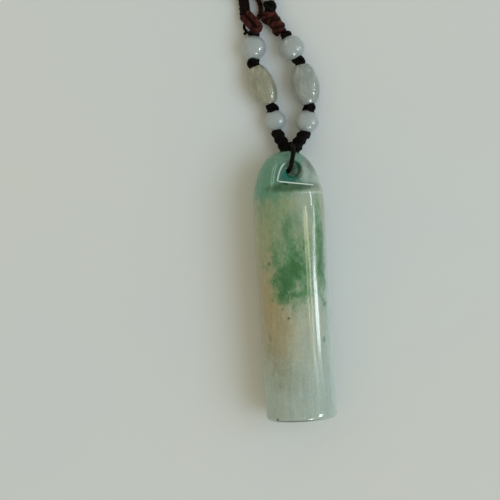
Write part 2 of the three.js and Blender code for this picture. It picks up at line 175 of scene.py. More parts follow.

# Patches in the jade, a few of them painted light or shade as marked, from its first layer to its last, in
# millimetres from the middle of its underside:
# colour, centre, reach each way, raggedness, softness and strength
jade_patches = [
    # Partly the stone's own cool tone and partly painted light: the cool window light on the right side
    (jade_cool, (8, -4, 9), (4, 40, 8), 0.25, 0.7, 0.75),
    (jade_cool, (1, -26, 8), (14, 13, 14), 0.3, 0.5, 0.85),
    # Painted highlight: a pale rim along the jade's right, lit side
    (jade_painted_rim_light, (7.8, -9.5, 8), (1.6, 22, 6), 0.2, 0.6, 0.65),
    # Partly the stone's own warm tone and partly painted shade: the warm shadow side on the left
    (jade_warm, (-7, -1, 10), (5, 13, 9), 0.3, 0.7, 0.9),
    (jade_warm, (-4, -8.5, 13), (3, 7, 5), 0.35, 0.7, 0.7),
    (jade_warm, (-4.4, -2, 13), (1.6, 3, 5), 0.35, 0.7, 0.6),
    (jade_olive, (-1.5, 12, 12), (8, 8, 8), 0.3, 0.7, 0.8),
    (jade_olive, (0, 16.5, 12), (9, 3.5, 8), 0.3, 0.7, 0.7),
    (jade_cloud, (-3, -18.5, 14), (2.6, 2.8, 4), 0.6, 0.9, 0.5),
    (jade_cloud, (-4.5, -14, 12), (2, 4, 4), 0.5, 0.9, 0.35),
    (jade_cool, (3.2, 16, 13.5), (3, 5, 5), 0.4, 0.6, 0.5),
    (jade_soft_green, (-4.3, 16.5, 12), (2, 3, 4), 0.6, 0.8, 0.6),
    (jade_mint, (-5, 22.4, 10), (6, 5, 12), 0.25, 0.4, 0.95),
    (jade_mint, (-0.5, 26.2, 9), (5.5, 2.4, 8), 0.25, 0.5, 0.8),
    (jade_teal_grey, (0.9, 23, 12), (3.9, 4.6, 5), 0.25, 0.5, 0.8),
    (jade_teal, (0, 21.8, 12), (2.6, 2.6, 3), 0.25, 0.45, 1),
    (jade_cool, (4.7, 22.3, 12), (2, 2.7, 3), 0.25, 0.5, 0.7),
    (jade_dome_grey, (5.4, 25.3, 10), (1.7, 2.8, 5), 0.2, 0.5, 0.8),
    # Partly painted shade: the right end of the dark band below the flats' steps
    (jade_dome_grey, (5.4, 19.8, 12), (1.6, 0.7, 4), 0.2, 0.6, 0.45),
    # Painted light inside the hole, where little light reaches
    (jade_painted_hole_light, (0.3, 23.6, 6.6), (2.3, 2.3, 4.9), 0, 0.1, 1),
    # Partly the stone's deeper green and partly painted shade: the dark band below the flats' steps
    (jade_band_green, (0.3, 19.85, 13), (4.2, 0.9, 5), 0.25, 0.5, 1),
    (jade_soft_green, (-0.8, 10.5, 14), (2.4, 6, 4), 0.5, 0.9, 0.75),
    (jade_green, (-0.9, 10, 14.4), (0.9, 3, 2), 0.8, 0.9, 0.7),
    (jade_deep_green, (-0.9, 10, 14.4), (0.9, 3, 2), 1, 0.7, 0.35),
    (jade_soft_green, (0, 3.3, 14), (4.2, 6.5, 5), 0.5, 0.9, 0.85),
    (jade_green, (-0.4, 3, 14), (3.3, 4.8, 5), 0.7, 0.8, 0.95),
    (jade_green, (-2.6, -1.2, 13.4), (1.2, 2.3, 2), 0.7, 0.8, 0.85),
    (jade_deep_green, (-1.6, 2, 14), (1.8, 2.6, 3), 1, 0.8, 0.6),
    (jade_deep_green, (0.8, 4, 14), (1, 3, 3), 1, 0.8, 0.7),
    (jade_deep_green, (-2.3, -1, 13.8), (0.8, 1.8, 2), 1, 0.8, 0.5),
    (jade_green, (1.7, -1.6, 14), (0.6, 1.8, 2), 0.8, 0.8, 0.6),
    (jade_soft_green, (5.4, 8, 11.9), (1.1, 9, 2), 0.5, 0.8, 0.7),
    (jade_green, (5.5, 5.5, 11.9), (0.9, 8, 2), 0.6, 0.8, 0.75),
    (jade_deep_green, (5.6, 5.5, 11.7), (0.5, 5, 2), 0.9, 0.8, 0.5),
    (jade_speck, (-1.65, -6.48, 14.25), (0.2, 0.24, 0.5), 0.3, 0.4, 0.9),
    (jade_speck, (-4.88, 4.64, 12.6), (0.3, 0.5, 0.5), 0.7, 0.8, 0.5),
    (jade_deep_green, (5.86, -3.96, 11.5), (0.25, 0.8, 0.6), 0.7, 0.8, 0.5),
    (jade_deep_green, (5.27, -11.28, 12.2), (0.2, 0.45, 0.6), 0.8, 0.8, 0.5),
    (jade_speck, (-5.51, -10.43, 11.9), (0.22, 0.6, 0.5), 0.7, 0.8, 0.35),
    (jade_speck, (-2.75, -4.54, 13.9), (0.3, 0.45, 0.5), 0.8, 0.8, 0.45),
    (jade_speck, (-5.04, -26.9, 12.3), (0.25, 0.3, 0.6), 0.4, 0.5, 0.9),
    # Painted shadow: a dark line along the rim of the lower end
    (jade_painted_rim_shadow, (-1.6, -27.3, 13), (5, 0.22, 3), 0, 0.5, 0.8),
    (jade_soft_green, (-2, 8, 1), (4, 9, 4), 0.6, 0.8, 0.7),
    (jade_cool, (2, -14, 1), (5, 10, 4), 0.5, 0.7, 0.6),
]

# Routes of the cords
left_leg_route = [
    (0.0007, 0.0285, 0.0028), (-0.00005, 0.02935, 0.0027), (-0.0013, 0.0321, 0.00245),
    (-0.00205, 0.0367, 0.00235), (-0.00245, 0.0379, 0.00265), (-0.0053, 0.046, 0.0028),
    (-0.00535, 0.0469, 0.00275), (-0.00515, 0.0498, 0.00265), (-0.005, 0.0524, 0.0025),
    (-0.0053, 0.0535, 0.0021),
]
right_leg_route = [
    (0.0015, 0.0285, 0.0028), (0.0026, 0.0292, 0.0029), (0.00445, 0.0315, 0.0028),
    (0.00565, 0.0359, 0.00245), (0.00585, 0.0369, 0.00285), (0.0051, 0.0414, 0.00295),
    (0.0044, 0.0455, 0.00298), (0.00375, 0.0469, 0.0028), (0.00185, 0.0517, 0.00255),
    (0.0013, 0.0529, 0.0021),
]
winding_routes = {
    "left": [(-0.00135, 0.0318, 0.0026), (-0.0005, 0.0299, 0.0027), (0.0004, 0.0281, 0.0028)],
    "right": [(0.00455, 0.03145, 0.0028), (0.0032, 0.0298, 0.0028), (0.0021, 0.0281, 0.0028)],
}
winding_turns = {"left": 0.6, "right": 2.2}
hanging_loop_route = [
    (0.0013, 0.0285, 0.0032), (0.0015, 0.02875, 0.0052), (0.00155, 0.02845, 0.0076),
    (0.00155, 0.0282, 0.0096), (0.0015, 0.0276, 0.0113), (0.0014, 0.0266, 0.01255),
    (0.0011, 0.0254, 0.01305), (0.00068, 0.02395, 0.01245), (0.00025, 0.02325, 0.0109),
    (-0.0001, 0.02325, 0.009), (-0.00055, 0.02325, 0.0066), (-0.0011, 0.0232, 0.0044),
    (-0.00135, 0.0234, 0.0026), (-0.0014, 0.0243, 0.00115), (-0.0012, 0.0258, 0.00075),
    (-0.0005, 0.0272, 0.00095), (0.0003, 0.0281, 0.0017), (0.0009, 0.0285, 0.0024),
]
left_upper_route = [
    (-0.0068, 0.0613, 0.0023), (-0.00695, 0.0621, 0.0026), (-0.0074, 0.065, 0.00267),
    (-0.00785, 0.0678, 0.0026), (-0.0083, 0.0693, 0.002),
]
right_upper_route = [
    (-0.00115, 0.0578, 0.0023), (-0.00125, 0.0587, 0.0026), (-0.0014, 0.0615, 0.00267),
    (-0.0015, 0.0643, 0.0026), (-0.0015, 0.0658, 0.002),
]
left_neck_route = [
    (-0.0086, 0.0699, 0.00135), (-0.00865, 0.0712, 0.0013), (-0.0087, 0.073, 0.00127),
    (-0.00875, 0.0749, 0.00126), (-0.00875, 0.0775, 0.00125),
]
right_neck_route = [
    (-0.00145, 0.0664, 0.00145), (-0.00105, 0.0682, 0.0014), (0.0006, 0.0701, 0.0015),
    (0.0026, 0.0714, 0.00175), (0.0041, 0.0725, 0.0021), (0.0053, 0.0742, 0.00265),
    (0.00605, 0.077, 0.0033), (0.00623, 0.0795, 0.0037),
]
right_twist_route = [
    (0.00055, 0.0531, 0.0016), (0.0001, 0.0544, 0.0015),
    (-0.00095, 0.0558, 0.0015), (-0.0014, 0.0571, 0.0015),
]
right_corner_route = [
    (-0.0006, 0.0571, 0.0019), (-0.0016, 0.0569, 0.0024), (-0.0026, 0.0564, 0.0021),
    (-0.0025, 0.0556, 0.0013), (-0.0012, 0.0549, 0.0016), (0.0003, 0.0544, 0.0024), (0.0009, 0.0536, 0.0018),
]
left_band_route = [(-0.00435, 0.05375, 0.0042), (-0.0053, 0.05515, 0.0034), (-0.00635, 0.0567, 0.002)]
left_dark_wrap_route = [(-0.0065, 0.057, 0.0013), (-0.0065, 0.0588, 0.0013), (-0.0067, 0.0606, 0.0013)]
left_loose_strand_route = [
    (-0.00375, 0.0562, 0.0013), (-0.00325, 0.0572, 0.0011), (-0.00315, 0.0586, 0.0009),
    (-0.00355, 0.06, 0.0008), (-0.0045, 0.0611, 0.0008),
]
left_tail_route = [
    (-0.0059, 0.0556, 0.0016), (-0.0067, 0.0551, 0.0012), (-0.0068, 0.0542, 0.0008),
    (-0.0064, 0.0536, 0.0005), (-0.0068, 0.0532, 0.0004),
]

up = Vector((0, 0, 1))


def make_camera():
    bpy.ops.object.camera_add(location=camera_place, rotation=(0, 0, camera_turn))
    camera = bpy.context.object
    camera.data.lens = camera_lens
    camera.data.sensor_width = camera_sensor
    bpy.context.scene.camera = camera


def curve_point(four, share):
    """The point a share of the way from the second to the third of four points, on a centripetal curve."""
    stations = [0]
    for first, second in zip(four, four[1:]):
        stations.append(stations[-1] + math.sqrt((second - first).length))
    here = stations[1] + (stations[2] - stations[1]) * share

    def part_way(first, second, start, end):
        return first.lerp(second, (here - stations[start]) / (stations[end] - stations[start]))

    a, b, c = [part_way(four[i], four[i + 1], i, i + 1) for i in range(3)]
    return part_way(part_way(a, b, 0, 2), part_way(b, c, 1, 3), 1, 2)


def evenly(line, step):
    """Points a step apart along a line of closer points."""
    spaced = [line[0]]
    left = step
    for first, second in zip(line, line[1:]):
        gap = (second - first).length
        while gap >= left:
            first = first.lerp(second, left / gap)
            gap -= left
            spaced.append(first)
            left = step
        left -= gap
    if (line[-1] - spaced[-1]).length > step / 2:
        spaced.append(line[-1])
    return spaced


def smooth_line(route, step):
    """Points a step apart along the smooth curve through a route."""
    points = [Vector(point) for point in route]
    padded = [points[0] * 2 - points[1], *points, points[-1] * 2 - points[-2]]
    line = [points[0]]
    for i in range(len(points) - 1):
        count = 4 * math.ceil((points[i + 1] - points[i]).length / step)
        line += [curve_point(padded[i:i + 4], (k + 1) / count) for k in range(count)]
    return evenly(line, step)


def line_length(line):
    return sum((second - first).length for first, second in zip(line, line[1:]))


def tangents_of(line):
    last = len(line) - 1
    return [(line[min(i + 1, last)] - line[max(i - 1, 0)]).normalized() for i in range(last + 1)]


def new_piece(name, mesh):
    piece = bpy.data.objects.new(name, mesh)
    bpy.context.scene.collection.objects.link(piece)
    return piece


def swept(name, line, radius, sides=16, relief=None):
    """A round-ended cord along a line of points. relief(angle, along) gives its surface as a share of radius."""
    tangents = tangents_of(line)
    cap = [math.radians(angle) for angle in (68, 45, 22)]
    start = [(line[0] - tangents[0] * radius * math.sin(a), tangents[0], math.cos(a)) for a in cap]
    end = [(line[-1] + tangents[-1] * radius * math.sin(a), tangents[-1], math.cos(a)) for a in reversed(cap)]
    rings = start + [(point, tangent, 1) for point, tangent in zip(line, tangents)] + end
    across = up.cross(tangents[0])
    if across.length < 0.1:
        across = Vector((1, 0, 0)).cross(tangents[0])
    vertices = []
    hollows = []
    distances = []
    along = 0
    before = rings[0][0]
    for centre, tangent, size in rings:
        along += (centre - before).length
        before = centre
        distances.append(along)
        across = (across - tangent * across.dot(tangent)).normalized()
        other = tangent.cross(across)
        for side in range(sides):
            angle = math.tau * side / sides
            share = relief(angle, along) if relief else 1
            hollows.append(1 - share)
            reach = radius * size * share
            vertices.append(centre + reach * (across * math.cos(angle) + other * math.sin(angle)))
    first_pole = len(vertices)
    vertices += [line[0] - tangents[0] * radius, line[-1] + tangents[-1] * radius]
    faces = []
    corners = []
    scale = 1 / (math.tau * radius)
    for ring in range(len(rings) - 1):
        low, high = distances[ring] * scale, distances[ring + 1] * scale
        for side in range(sides):
            a, b = ring * sides + side, ring * sides + (side + 1) % sides
            faces.append((a, b, b + sides, a + sides))
            left, right = side / sides, (side + 1) / sides
            corners += [(left, low), (right, low), (right, high), (left, high)]
    last = (len(rings) - 1) * sides
    for side in range(sides):
        after = (side + 1) % sides
        faces += [(after, side, first_pole), (last + side, last + after, first_pole + 1)]
        corners += [(0, 0)] * 3 + [(0, along * scale)] * 3
    mesh = bpy.data.meshes.new(name)
    mesh.from_pydata(vertices, [], faces)
    lay = mesh.uv_layers.new(name="lay")
    lay.data.foreach_set("uv", [value for corner in corners for value in corner])
    # The depth of each hollow between plies, kept for painted shade there
    groove = mesh.attributes.new("groove", "FLOAT", "POINT")
    groove.data.foreach_set("value", [*hollows, 0, 0])
    mesh.shade_smooth()
    return new_piece(name, mesh)


def laid_relief(plies, pitch, depth):
    """The surface of a cord laid from a few plies."""
    return lambda angle, along: 1 - depth * (1 - abs(math.cos(plies / 2 * (angle - math.tau * along / pitch))))


def braided_relief(pairs, pitch, depth):
    """The surface of a round braid, whose strands cross in both directions."""
    def surface(angle, along):
        turn = math.tau * along / pitch
        return 1 - depth * (0.5 - 0.5 * math.cos(pairs * (angle + turn)) * math.cos(pairs * (angle - turn)))
    return surface


def hank_line():
    """Four turns of the folded neck cord: two in the upper layer from the outside in, then two below it."""
    inner, outer = hank_inner_bend, hank_inner_bend + neck_cord_diameter
    low, high = neck_cord_diameter / 2, neck_cord_diameter * 1.5
    turns = [(outer, high), (inner, high), (inner, low), (outer, low)]
    count = 10
    points = []
    for number, (bend, height) in enumerate(turns):
        for side in (1, -1):
            for i in range(count):
                share = i / count if side == 1 else 1 - i / count
                waist = 0.5 - 0.5 * math.cos(math.tau * share)
                x = hank_x + side * (bend - hank_waist_depth * waist)
                y = hank_near_bend_y + hank_straight * share
                points.append(Vector((x, y, height + hank_tie_lift * waist ** 3)))
            if side == 1:
                turned, centre_y, following = 0, hank_near_bend_y + hank_straight, (bend, height)
            elif number + 1 < len(turns):
                turned, centre_y, following = math.pi, hank_near_bend_y, turns[number + 1]
            else:
                points.append(Vector((hank_x - bend, hank_near_bend_y, height)))
                break
            for i in range(count):
                share = i / count
                ease = share * share * (3 - 2 * share)
                angle = turned + math.pi * share
                reach = bend + (following[0] - bend) * ease
                level = height + (following[1] - height) * ease
                points.append(Vector((
                    hank_x + reach * math.cos(angle), centre_y + reach * math.sin(angle), level,
                )))
    return points


def make_bead_string():
    route = [*reversed(left_leg_route[1:]), *reversed(hanging_loop_route), *right_leg_route[1:]]
    line = smooth_line(route, string_diameter / 6)
    return swept("bead_string_cord", line, string_diameter / 2, 18, laid_relief(3, 0.0022, 0.16)), line


def make_neck_cord():
    route = [*right_neck_route, *hank_line(), *reversed(left_neck_route)]
    line = smooth_line(route, neck_cord_diameter / 7)
    return swept("neck_cord", line, neck_cord_diameter / 2, 24, braided_relief(4, 0.009, 0.14)), line



def deselect_all():
    bpy.ops.object.select_all(action="DESELECT")


def turned(name, outline, steps):
    """A piece turned round the Y axis from its half outline, a list of (radius, along) points."""
    deselect_all()
    bpy.ops.mesh.primitive_plane_add(size=0.001)
    piece = bpy.context.object
    piece.name = piece.data.name = name
    bpy.ops.object.mode_set(mode="EDIT")
    bpy.ops.mesh.select_all(action="SELECT")
    bpy.ops.mesh.merge(type="CENTER")
    bpy.ops.transform.translate(value=(*outline[0], 0))
    for (radius, along), (next_radius, next_along) in zip(outline, outline[1:]):
        move = (next_radius - radius, next_along - along, 0)
        bpy.ops.mesh.extrude_vertices_move(TRANSFORM_OT_translate={"value": move})
    bpy.ops.mesh.select_all(action="SELECT")
    bpy.ops.mesh.spin(steps=steps, angle=math.tau, center=(0, 0, 0), axis=(0, 1, 0))
    bpy.ops.mesh.select_all(action="SELECT")
    bpy.ops.mesh.remove_doubles(threshold=0.000001)
    bpy.ops.mesh.normals_make_consistent(inside=False)
    bpy.ops.object.mode_set(mode="OBJECT")
    bpy.ops.object.shade_smooth()
    return piece


def cut_with(piece, cutter):
    """Cuts the cutter's shape out of a piece, and removes the cutter."""
    deselect_all()
    bpy.context.view_layer.objects.active = piece
    piece.select_set(True)
    bpy.ops.object.modifier_add(type="BOOLEAN")
    boolean = piece.modifiers[-1]
    boolean.operation = "DIFFERENCE"
    boolean.solver = "EXACT"
    boolean.object = cutter
    bpy.ops.object.modifier_apply(modifier=boolean.name)
    bpy.data.objects.remove(cutter)


def evenly_flat(outline, step):
    """The points of an outline, set a step apart."""
    spaced = evenly([Vector((radius, along, 0)) for radius, along in outline], step)
    return [(point.x, point.y) for point in spaced]


def dome_radius(from_tip):
    """Radius of the dome at a distance below its tip."""
    rise = (dome_height - from_tip) / dome_height
    return jade_radius * max(0, 1 - rise ** dome_tip_power) ** (1 / dome_side_power)


def jade_outline():
    """Half outline of the jade, from the middle of its lower end to the tip of the dome."""
    crease_y = tip_y - crease_from_tip
    side_bottom = bottom_y + bottom_edge_round
    outline = [(0, bottom_y), (jade_radius * 0.5, bottom_y)]
    corner_steps = 8
    for i in range(corner_steps + 1):
        angle = math.pi / 2 * i / corner_steps
        outline.append((
            jade_radius - bottom_edge_round * (1 - math.sin(angle)),
            side_bottom - bottom_edge_round * math.cos(angle),
        ))
    taper = [(jade_radius, crease_y - crease_taper), (dome_radius(crease_from_tip), crease_y)]
    outline += evenly_flat([(jade_radius, side_bottom), taper[0]], jade_side_step)[1:]
    outline += evenly_flat(taper, jade_side_step / 3)[1:]
    samples = 2000
    dome = []
    for i in range(samples + 1):
        from_tip = crease_from_tip * (1 - i / samples)
        dome.append((dome_radius(from_tip), tip_y - from_tip))
    outline += evenly_flat(dome, jade_dome_step)[1:]
    return outline + [(0, tip_y)]


def smooth_least(a, b, blend):
    """The lesser of two lengths, rounded where they meet."""
    near = max(blend - abs(a - b), 0) / blend
    return min(a, b) - near * near * blend / 4


def flat_reach(unit_x, unit_z, y, side):
    """Distance from the axis to a ground flat in one direction, and how far that is below its step's foot.

    side is 1 for the flat in front and -1 for the one behind.
    """
    height_share = side * (unit_x * math.sin(flat_roll) + unit_z * math.cos(flat_roll))
    across_share = side * (unit_x * math.cos(flat_roll) - unit_z * math.sin(flat_roll))
    if height_share < 0.1:
        return math.inf, math.inf
    depth = flat_half_thickness - (y - (tip_y - hole_from_tip)) * math.tan(flat_slope)
    across = depth / height_share * across_share
    below_step = tip_y - flat_length - math.tan(flat_skew) * across - y
    wall = depth + below_step * math.tan(step_slope)
    return -smooth_least(-depth, -wall, flat_inner_round) / height_share, below_step


def grind_flats(jade):
    """Grinds the dome's two flats and the flat spot under the side, and gives the polish its faint waves."""
    for vertex in jade.data.vertices:
        x, y, z = vertex.co
        radius = math.hypot(x, z)
        if radius < 0.00001:
            continue
        unit_x, unit_z = x / radius, z / radius
        reach = radius
        if radius > jade_radius * 0.9:
            wave = noise.noise(Vector((unit_x * 1.7, y / 0.013, unit_z * 1.7)))
            reach += polish_wave * wave * min(1, (y - bottom_y) / 0.002)
        for side in (1, -1):
            reach = smooth_least(reach, flat_reach(unit_x, unit_z, y, side)[0], flat_edge_round)
        if unit_z < 0:
            reach = min(reach, jade_axis_height / -unit_z)
        vertex.co = (unit_x * reach, y, unit_z * reach)


def paint_edge_highlights(jade):
    """Paints highlights, as a paler colour, along the flats' left edges, the foot of their steps and the right side
    of the ring at the crease.
    """
    marks = []
    crease_y = tip_y - crease_from_tip
    for vertex in jade.data.vertices:
        x, y, z = vertex.co
        z -= jade_axis_height
        radius = math.hypot(x, z)
        mark = 0
        if y > crease_y - edge_highlight_width and radius > 0.001:
            cut = dome_radius(max(0, min(crease_from_tip, tip_y - y))) - radius
            # Painted highlight on the crease ring, on its right side only
            to_right = max(0, min(1, 2.5 * x / radius - 0.4))
            mark = ring_highlight * to_right * (1 - (abs(y - crease_y) + max(0, cut)) / edge_highlight_width)
            # Painted highlights along the flats' left edges and the foot of their steps
            for side in (1, -1):
                flat, below_step = flat_reach(x / radius, z / radius, y, side)
                to_left = side * (x * math.cos(flat_roll) - z * math.sin(flat_roll)) < 0
                if to_left and below_step < 0:
                    fade = max(0, min(1, (edge_highlight_top - y) / edge_highlight_fade))
                    mark = max(mark, fade - max(abs(flat - radius), abs(cut)) / edge_highlight_width)
                if cut > edge_highlight_width:
                    mark = max(mark, 1 - (abs(below_step) + abs(flat - radius)) / edge_highlight_width)
        marks.append(max(0, mark))
    edge = jade.data.attributes.new("painted_edge_highlight", "FLOAT", "POINT")
    edge.data.foreach_set("value", marks)


def hole_cutter():
    """A pin with a flared head for each flat, which cuts the hole and its rounded mouths."""
    radius = hole_diameter / 2
    mouth = flat_half_thickness
    flare = hole_mouth_flare
    far = jade_radius * 2
    half = [
        (radius, mouth - 2 * flare), (radius + 0.2 * flare, mouth - flare), (radius + 0.8 * flare, mouth),
        (radius + 3 * flare, mouth + 2 * flare), (radius + 3 * flare, far),
    ]
    outline = [(0, -far), *[(r, -along) for r, along in reversed(half)], *half, (0, far)]
    cutter = turned("hole_cutter", outline, 64)
    cutter.data.transform(Matrix.Rotation(math.pi / 2, 4, "X"))
    for vertex in cutter.data.vertices:
        vertex.co.z -= math.copysign(math.tan(flat_slope) * vertex.co.y, vertex.co.z)
    cutter.data.transform(
        Matrix.Translation((0, tip_y - hole_from_tip, 0)) @ Matrix.Rotation(flat_roll, 4, "Y")
    )
    return cutter


def make_jade():
    jade = turned("jade_cylinder_stone", jade_outline(), jade_sides)
    grind_flats(jade)
    cut_with(jade, hole_cutter())
    jade.data.transform(Matrix.Translation((0, 0, jade_axis_height)))
    paint_edge_highlights(jade)
    deselect_all()
    jade.select_set(True)
    bpy.context.view_layer.objects.active = jade
    bpy.ops.object.shade_smooth_by_angle(angle=math.radians(38))
    return jade


def middle_of(node):
    low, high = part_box(node)
    return (Vector(low) + Vector(high)) / 2


def thickness_of(node):
    low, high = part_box(node)
    return high[2] - low[2]


def nearest_on(line, place):
    return min(range(len(line)), key=lambda i: (line[i] - place).length)


def direction_at(line, place, reach):
    """Direction of a line of points near a place, taken over a reach before and behind it."""
    middle = nearest_on(line, place)
    count = round(reach / (line[1] - line[0]).length)
    return (line[min(middle + count, len(line) - 1)] - line[max(middle - count, 0)]).normalized()


def put(piece, place, direction):
    """Turns a piece made along +Y at the origin to a direction, and moves it to its place."""
    turn = Vector((0, 1, 0)).rotation_difference(direction).to_matrix().to_4x4()
    piece.data.transform(Matrix.Translation(place) @ turn)
    return piece


def bored(outline):
    """A closed half outline with the bead's bore inside it, the bore's mouths broken a little."""
    bore = bead_bore / 2
    first, last = outline[0][1], outline[-1][1]
    relief = 0.00008
    inside = [
        (bore + relief, last), (bore, last - relief), (bore, 0), (bore, first + relief), (bore + relief, first),
    ]
    return [*outline, *inside, outline[0]]


def round_bead(name, node, line):
    """A round bead with its bore along the string, and the half of its length."""
    radius = thickness_of(node) / 2
    end = math.acos((bead_bore / 2 + 0.00018) / radius)
    angles = [end * (i / 20 - 1) for i in range(41)]
    outline = [(radius * math.cos(angle), radius * math.sin(angle)) for angle in angles]
    place = middle_of(node)
    direction = direction_at(line, place, radius)
    bead = put(turned(name, bored(outline), 72), place, direction)
    return bead, place, direction, radius * math.sin(end)


def barrel_bead(name, node, line):
    """A barrel bead: an ellipse turned round the bore, with small flat ends and soft edges round them."""
    radius = thickness_of(node) / 2
    end = math.acos(barrel_end_diameter / 2 / radius)
    half_axis = barrel_length / 2 / math.sin(end)
    soft = 0.00018
    sides = [end * (i / 22 - 1) for i in range(1, 44)]
    outline = [
        (barrel_end_diameter / 2 - soft * 1.4, -barrel_length / 2),
        (barrel_end_diameter / 2 - soft * 0.4, -barrel_length / 2 + soft * 0.3),
        *[(radius * math.cos(angle), half_axis * math.sin(angle)) for angle in sides],
        (barrel_end_diameter / 2 - soft * 0.4, barrel_length / 2 - soft * 0.3),
        (barrel_end_diameter / 2 - soft * 1.4, barrel_length / 2),
    ]
    place = middle_of(node)
    direction = direction_at(line, place, barrel_length / 2)
    bead = put(turned(name, bored(outline), 72), place, direction)
    return bead, place, direction, barrel_length / 2


def across_of(direction):
    """Two directions at right angles to the given one and to each other, the first of them level."""
    across = direction.cross(up)
    if across.length < 0.1:
        across = Vector((1, 0, 0))
    across.normalize()
    return across, across.cross(direction)


def wound_knot(name, place, direction, length, width, strand, turn=0, taper=0):
    """A knot drawn tight: its strand runs twice round the direction, three times over and under itself.

    turn rolls it, and taper makes its far end wider than its near one.
    """
    across, other = across_of(direction)
    wide = (width / 2 - strand) / 3
    tall = length / 2 - strand
    line = []
    for i in range(121):
        t = math.tau * i / 120
        height = math.sin(3 * t)
        reach = (2 + math.cos(3 * t)) * wide * (1 + taper * height)
        angle = 2 * t + turn
        line.append(
            place + reach * (across * math.cos(angle) + other * math.sin(angle)) + direction * tall * height
        )
    return swept(name, line, strand, 12, laid_relief(3, 0.0022, 0.14))


def wound_round(name, line, offset, turns, phase, radius, relief=None, sides=14):
    """A strand that winds round a line of points at an offset from it."""
    tangents = tangents_of(line)
    across = across_of(tangents[0])[0]
    strand = []
    for i, (point, tangent) in enumerate(zip(line, tangents)):
        across = (across - tangent * across.dot(tangent)).normalized()
        angle = phase + math.tau * turns * i / (len(line) - 1)
        strand.append(point + offset * (across * math.cos(angle) + tangent.cross(across) * math.sin(angle)))
    return swept(name, evenly(strand, radius / 3), radius, sides, relief)


def joined(name, parts):
    """Joins a few meshes into one piece."""
    deselect_all()
    for part in parts:
        part.select_set(True)
    bpy.context.view_layer.objects.active = parts[0]
    bpy.ops.object.join()
    parts[0].name = parts[0].data.name = name
    return parts[0]


def leg_wrap(name, route, phase):
    """The string's spare end, wound tightly round one leg, with the other threads of the leg inside."""
    line = smooth_line(route, 0.0001)
    offset = leg_wrap_diameter / 2 - leg_wrap_strand
    turns = line_length(line) / (1.7 * leg_wrap_strand)
    inside = swept("leg_threads", line, offset + 0.7 * leg_wrap_strand, 16)
    winding = wound_round(
        "leg_winding", line, offset, turns, phase, leg_wrap_strand, laid_relief(3, 0.003, 0.14), 18,
    )
    return joined(name, [inside, winding])


def make_band():
    """Two strands side by side that turn back at the lower end of the left cord work, and a thin dark strand laid in
    the groove between them as painted shade.
    """
    line = smooth_line(left_band_route, 0.0002)
    tangents = tangents_of(line)
    sides = [tangent.cross(up).normalized() for tangent in tangents]
    offset = 0.00074
    there = [point + side * offset for point, side in zip(line, sides)]
    back = [point - side * offset for point, side in zip(line, sides)]
    turn = []
    for i in range(1, 12):
        angle = math.pi * i / 12
        turn.append(line[0] - offset * (sides[0] * math.cos(angle) + tangents[0] * math.sin(angle)))
    path = evenly([*reversed(back), *turn, *there], 0.00018)
    lift = [point + up * 0.0004 - tangent * 0.0002 for point, tangent in zip(line, tangents)]
    pair = swept("left_band_strands", path, 0.00069, 16, laid_relief(3, 0.006, 0.09))
    # Painted shade: a thin dark strand laid in the groove between the two strands
    groove = swept("left_band_groove_shade", lift, 0.0003, 12, laid_relief(2, 0.002, 0.14))
    return pair, groove


def make_right_twist():
    """Three thick strands laid together, and one more that turns back round them at the left."""
    line = smooth_line(right_twist_route, 0.0001)
    strands = []
    for number in range(3):
        phase = math.tau * number / 3 + 0.5
        strands.append(wound_round(
            f"strand_{number}", line, 0.0008, 1.15, phase, 0.00076, laid_relief(2, 0.0026, 0.16), 16,
        ))
    laid = joined("right_twist_strands", strands)
    corner = swept("right_twist_corner", smooth_line(right_corner_route, 0.0002), 0.00062, 16,
                   laid_relief(2, 0.0026, 0.16))
    return laid, corner


def make_dark_wrap():
    """Thread wound closely round a core, above the left band."""
    line = smooth_line(left_dark_wrap_route, 0.0001)
    core = swept("wrap_core", line, 0.00106, 16)
    winding = wound_round("wrap_winding", line, 0.00088, 6.5, 1, 0.00034, laid_relief(3, 0.0016, 0.12), 12)
    return joined("left_dark_wrap_winding", [core, winding])


def make_hank_tie():
    """Three turns of thread round the waist of the folded neck cord."""
    low, high = [Vector(corner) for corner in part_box("hank_tie")]
    middle = (low + high) / 2
    strand = 0.00038
    half_width, half_height = (high.x - low.x) / 2 - strand, (high.z - low.z) / 2 - strand
    turns = 3
    count = 64
    line = []
    for i in range(turns * count + 1):
        angle = math.tau * i / count
        cosine, sine = math.cos(angle), math.sin(angle)
        square = 0.55
        x = half_width * math.copysign(abs(cosine) ** square, cosine)
        z = half_height * math.copysign(abs(sine) ** square, sine)
        y = (i / (turns * count) - 0.5) * 2.05 * strand * turns
        line.append(middle + Vector((x, y, z)))
    winding = swept("tie_winding", evenly(line, 0.0002), strand, 12, laid_relief(3, 0.0016, 0.14))
    knot_place = Vector((middle.x, middle.y, high.z - 0.0002))
    knot = wound_knot("tie_knot", knot_place, Vector((1, 0, 0)), 0.0019, 0.0017, 0.0004)
    return joined("hank_tie_winding", [winding, knot])


def place_node(tree, kind, sockets=(), **settings):
    """Adds a shader node. sockets gives its inputs, each a plain value or another node's output."""
    made = tree.nodes.new(kind)
    for name, value in settings.items():
        setattr(made, name, value)
    for socket, value in dict(sockets).items():
        if isinstance(value, bpy.types.NodeSocket):
            tree.links.new(value, made.inputs[socket])
        else:
            made.inputs[socket].default_value = value
    return made


def maths(tree, operation, *values):
    return place_node(tree, "ShaderNodeMath", enumerate(values), operation=operation).outputs[0]


def vectors(tree, operation, *values):
    made = place_node(tree, "ShaderNodeVectorMath", enumerate(values), operation=operation)
    return made.outputs["Value" if operation == "LENGTH" else "Vector"]


